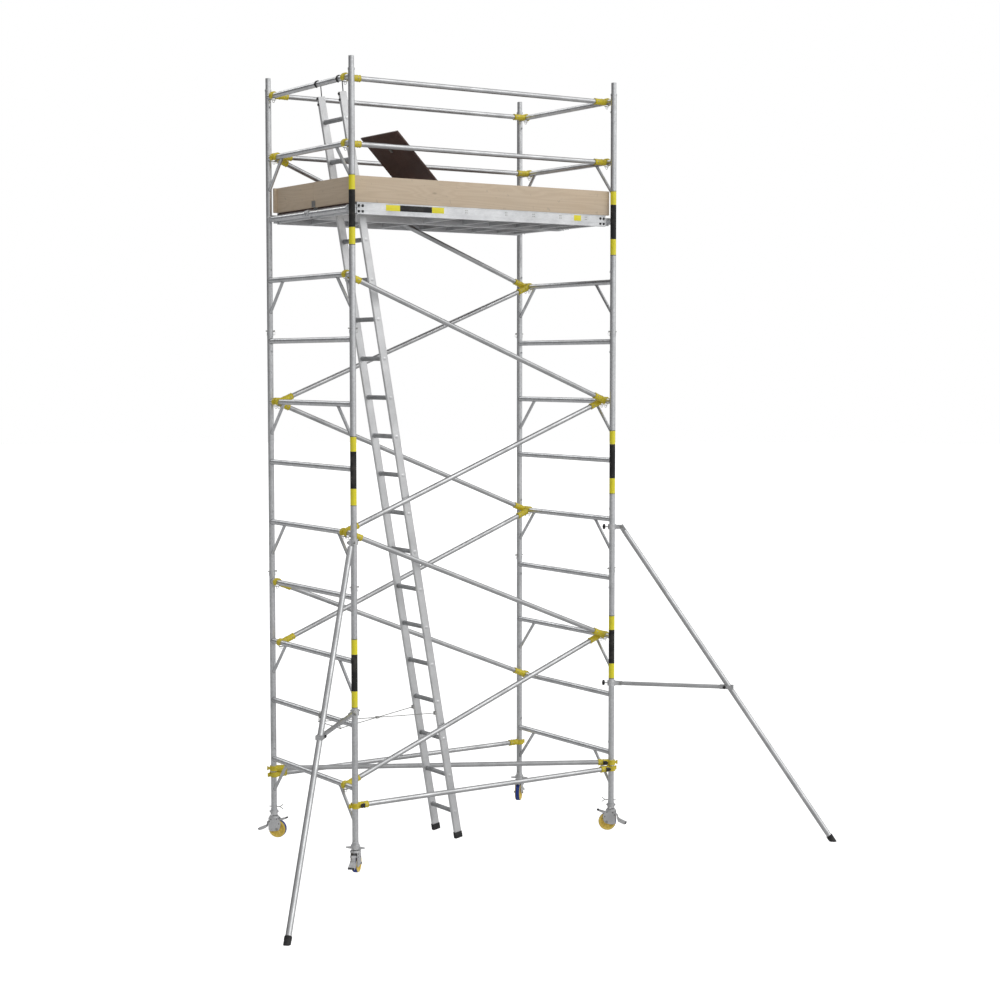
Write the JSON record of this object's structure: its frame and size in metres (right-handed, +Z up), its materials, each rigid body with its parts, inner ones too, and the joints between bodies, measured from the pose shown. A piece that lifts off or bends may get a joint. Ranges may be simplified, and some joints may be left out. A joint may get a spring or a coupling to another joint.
{
  "type": "mobile scaffold tower",
  "caption": "Tall aluminium frame scaffold tower on braked swivel castors, with diagonal braces, guardrails, boarded platform with open trapdoor, inside ladder and outriggers.",
  "frame": {"origin": "on the floor under the middle of the tower's bounding box", "axes": "+Z up, X along the long side, -Y towards the ladder and outrigger side"},
  "size_m": [5.1774, 2.8838, 6.324],
  "materials": {
    "galvanised": "galvanised matt",
    "brace_alloy": "satin",
    "mill_aluminium": "mill finish",
    "ladder_rung_alloy": "dull",
    "zinc_pins": "zinc plated",
    "dark_steel": "satin black",
    "cast_zinc": "cast grey",
    "yellow_casting": "powder coat",
    "film_ply": "film faced",
    "pine": "sawn",
    "black_rubber": "matt",
    "wheel_yellow": "moulded",
    "wheel_blue": "moulded"
  },
  "bodies": {
    "tower": {"end_frame_left_lower": "galvanised", "end_frame_left_middle": "galvanised", "end_frame_left_upper": "galvanised", "end_frame_right_lower": "galvanised", "end_frame_right_middle": "galvanised", "end_frame_right_upper": "galvanised", "frame_lock_pins": "zinc_pins", "front_diagonal_braces": "brace_alloy", "rear_diagonal_braces": "brace_alloy", "guardrails": "brace_alloy", "base_braces": "brace_alloy", "brace_hooks": "yellow_casting", "hook_latches": "zinc_pins", "base_clamps": "yellow_casting", "base_clamp_latches": "dark_steel", "platform_frame_front": "mill_aluminium", "platform_frame_rear": "mill_aluminium", "platform_deck_front": "film_ply", "platform_deck_rear": "film_ply", "side_toe_boards": "pine", "end_toe_boards": "pine", "ladder_stiles": "mill_aluminium", "ladder_rungs": "ladder_rung_alloy", "ladder_feet": "black_rubber", "ladder_hooks": "dark_steel", "ladder_stay": "zinc_pins"},
    "trapdoor": {"trapdoor": "film_ply", "trapdoor_latch": "zinc_pins"},
    "jack_nut_front_left": {"jack_nut_front_left": "cast_zinc"},
    "jack_stem_front_left": {"jack_stem_front_left": "zinc_pins"},
    "castor_fork_front_left": {"castor_fork_front_left": "cast_zinc"},
    "castor_wheel_front_left": {"castor_hub_front_left": "wheel_yellow", "castor_tyre_front_left": "wheel_blue"},
    "brake_pedal_front_left": {"brake_pedal_front_left": "cast_zinc"},
    "jack_nut_front_right": {"jack_nut_front_right": "cast_zinc"},
    "jack_stem_front_right": {"jack_stem_front_right": "zinc_pins"},
    "castor_fork_front_right": {"castor_fork_front_right": "cast_zinc"},
    "castor_wheel_front_right": {"castor_hub_front_right": "wheel_yellow", "castor_tyre_front_right": "wheel_blue"},
    "brake_pedal_front_right": {"brake_pedal_front_right": "cast_zinc"},
    "jack_nut_rear_left": {"jack_nut_rear_left": "cast_zinc"},
    "jack_stem_rear_left": {"jack_stem_rear_left": "zinc_pins"},
    "castor_fork_rear_left": {"castor_fork_rear_left": "cast_zinc"},
    "castor_wheel_rear_left": {"castor_hub_rear_left": "wheel_yellow", "castor_tyre_rear_left": "wheel_blue"},
    "brake_pedal_rear_left": {"brake_pedal_rear_left": "cast_zinc"},
    "jack_nut_rear_right": {"jack_nut_rear_right": "cast_zinc"},
    "jack_stem_rear_right": {"jack_stem_rear_right": "zinc_pins"},
    "castor_fork_rear_right": {"castor_fork_rear_right": "cast_zinc"},
    "castor_wheel_rear_right": {"castor_hub_rear_right": "wheel_yellow", "castor_tyre_rear_right": "wheel_blue"},
    "brake_pedal_rear_right": {"brake_pedal_rear_right": "cast_zinc"},
    "outrigger_front_left": {"outrigger_leg_front_left": "brace_alloy", "outrigger_foot_front_left": "black_rubber", "outrigger_strut_front_left": "brace_alloy", "outrigger_clamps_front_left": "cast_zinc"},
    "outrigger_front_right": {"outrigger_leg_front_right": "brace_alloy", "outrigger_foot_front_right": "black_rubber", "outrigger_strut_front_right": "brace_alloy", "outrigger_clamps_front_right": "cast_zinc"}
  },
  "joints": [
    {"name": "trapdoor_hinge", "type": "hinge", "parent": "tower", "child": "trapdoor", "pos_m": [-0.209, 0.34335, 5.231], "axis": [0, 1, 0], "range_deg": [-45, 50]},
    {"name": "jack_nut_spin_front_left", "type": "hinge", "parent": "tower", "child": "jack_nut_front_left", "pos_m": [-1.254, -0.06065, 0.212], "axis": [0, 0, 1], "range_deg": [0, 7200]},
    {"name": "jack_slide_front_left", "type": "slide", "parent": "tower", "child": "jack_stem_front_left", "axis": [0, 0, -1], "range_m": [0, 0.2]},
    {"name": "castor_swivel_front_left", "type": "hinge", "parent": "jack_stem_front_left", "child": "castor_fork_front_left", "pos_m": [-1.254, -0.06065, 0.18], "axis": [0, 0, 1], "continuous": true},
    {"name": "wheel_spin_front_left", "type": "hinge", "parent": "castor_fork_front_left", "child": "castor_wheel_front_left", "pos_m": [-1.23208, -0.03873, 0.075], "axis": [0.7071, -0.7071, 0], "continuous": true},
    {"name": "brake_press_front_left", "type": "hinge", "parent": "castor_fork_front_left", "child": "brake_pedal_front_left", "pos_m": [-1.27804, -0.0847, 0.138], "axis": [0.7071, -0.7071, 0], "range_deg": [0, 5]},
    {"name": "jack_nut_spin_front_right", "type": "hinge", "parent": "tower", "child": "jack_nut_front_right", "pos_m": [1.254, -0.06065, 0.212], "axis": [0, 0, 1], "range_deg": [0, 7200]},
    {"name": "jack_slide_front_right", "type": "slide", "parent": "tower", "child": "jack_stem_front_right", "axis": [0, 0, -1], "range_m": [0, 0.2]},
    {"name": "castor_swivel_front_right", "type": "hinge", "parent": "jack_stem_front_right", "child": "castor_fork_front_right", "pos_m": [1.254, -0.06065, 0.18], "axis": [0, 0, 1], "continuous": true},
    {"name": "wheel_spin_front_right", "type": "hinge", "parent": "castor_fork_front_right", "child": "castor_wheel_front_right", "pos_m": [1.23208, -0.03873, 0.075], "axis": [0.7071, 0.7071, 0], "continuous": true},
    {"name": "brake_press_front_right", "type": "hinge", "parent": "castor_fork_front_right", "child": "brake_pedal_front_right", "pos_m": [1.27804, -0.0847, 0.138], "axis": [0.7071, 0.7071, 0], "range_deg": [0, 5]},
    {"name": "jack_nut_spin_rear_left", "type": "hinge", "parent": "tower", "child": "jack_nut_rear_left", "pos_m": [-1.254, 1.32735, 0.212], "axis": [0, 0, 1], "range_deg": [0, 7200]},
    {"name": "jack_slide_rear_left", "type": "slide", "parent": "tower", "child": "jack_stem_rear_left", "axis": [0, 0, -1], "range_m": [0, 0.2]},
    {"name": "castor_swivel_rear_left", "type": "hinge", "parent": "jack_stem_rear_left", "child": "castor_fork_rear_left", "pos_m": [-1.254, 1.32735, 0.18], "axis": [0, 0, 1], "continuous": true},
    {"name": "wheel_spin_rear_left", "type": "hinge", "parent": "castor_fork_rear_left", "child": "castor_wheel_rear_left", "pos_m": [-1.23208, 1.30543, 0.075], "axis": [-0.7071, -0.7071, 0], "continuous": true},
    {"name": "brake_press_rear_left", "type": "hinge", "parent": "castor_fork_rear_left", "child": "brake_pedal_rear_left", "pos_m": [-1.27804, 1.35139, 0.138], "axis": [-0.7071, -0.7071, 0], "range_deg": [0, 5]},
    {"name": "jack_nut_spin_rear_right", "type": "hinge", "parent": "tower", "child": "jack_nut_rear_right", "pos_m": [1.254, 1.32735, 0.212], "axis": [0, 0, 1], "range_deg": [0, 7200]},
    {"name": "jack_slide_rear_right", "type": "slide", "parent": "tower", "child": "jack_stem_rear_right", "axis": [0, 0, -1], "range_m": [0, 0.2]},
    {"name": "castor_swivel_rear_right", "type": "hinge", "parent": "jack_stem_rear_right", "child": "castor_fork_rear_right", "pos_m": [1.254, 1.32735, 0.18], "axis": [0, 0, 1], "continuous": true},
    {"name": "wheel_spin_rear_right", "type": "hinge", "parent": "castor_fork_rear_right", "child": "castor_wheel_rear_right", "pos_m": [1.23208, 1.30543, 0.075], "axis": [-0.7071, 0.7071, 0], "continuous": true},
    {"name": "brake_press_rear_right", "type": "hinge", "parent": "castor_fork_rear_right", "child": "brake_pedal_rear_right", "pos_m": [1.27804, 1.35139, 0.138], "axis": [-0.7071, 0.7071, 0], "range_deg": [0, 5]},
    {"name": "outrigger_swing_front_left", "type": "hinge", "parent": "tower", "child": "outrigger_front_left", "pos_m": [-1.254, -0.06065, 1.94], "axis": [0, 0, 1], "range_deg": [-38, 38]},
    {"name": "outrigger_swing_front_right", "type": "hinge", "parent": "tower", "child": "outrigger_front_right", "pos_m": [1.254, -0.06065, 1.94], "axis": [0, 0, 1], "range_deg": [-38, 38]}
  ],
  "couplings": [
    {"joint": "jack_nut_spin_front_left", "follows": "jack_slide_front_left", "rad_per_m": 628.32},
    {"joint": "jack_nut_spin_front_right", "follows": "jack_slide_front_right", "rad_per_m": 628.32},
    {"joint": "jack_nut_spin_rear_left", "follows": "jack_slide_rear_left", "rad_per_m": 628.32},
    {"joint": "jack_nut_spin_rear_right", "follows": "jack_slide_rear_right", "rad_per_m": 628.32}
  ]
}
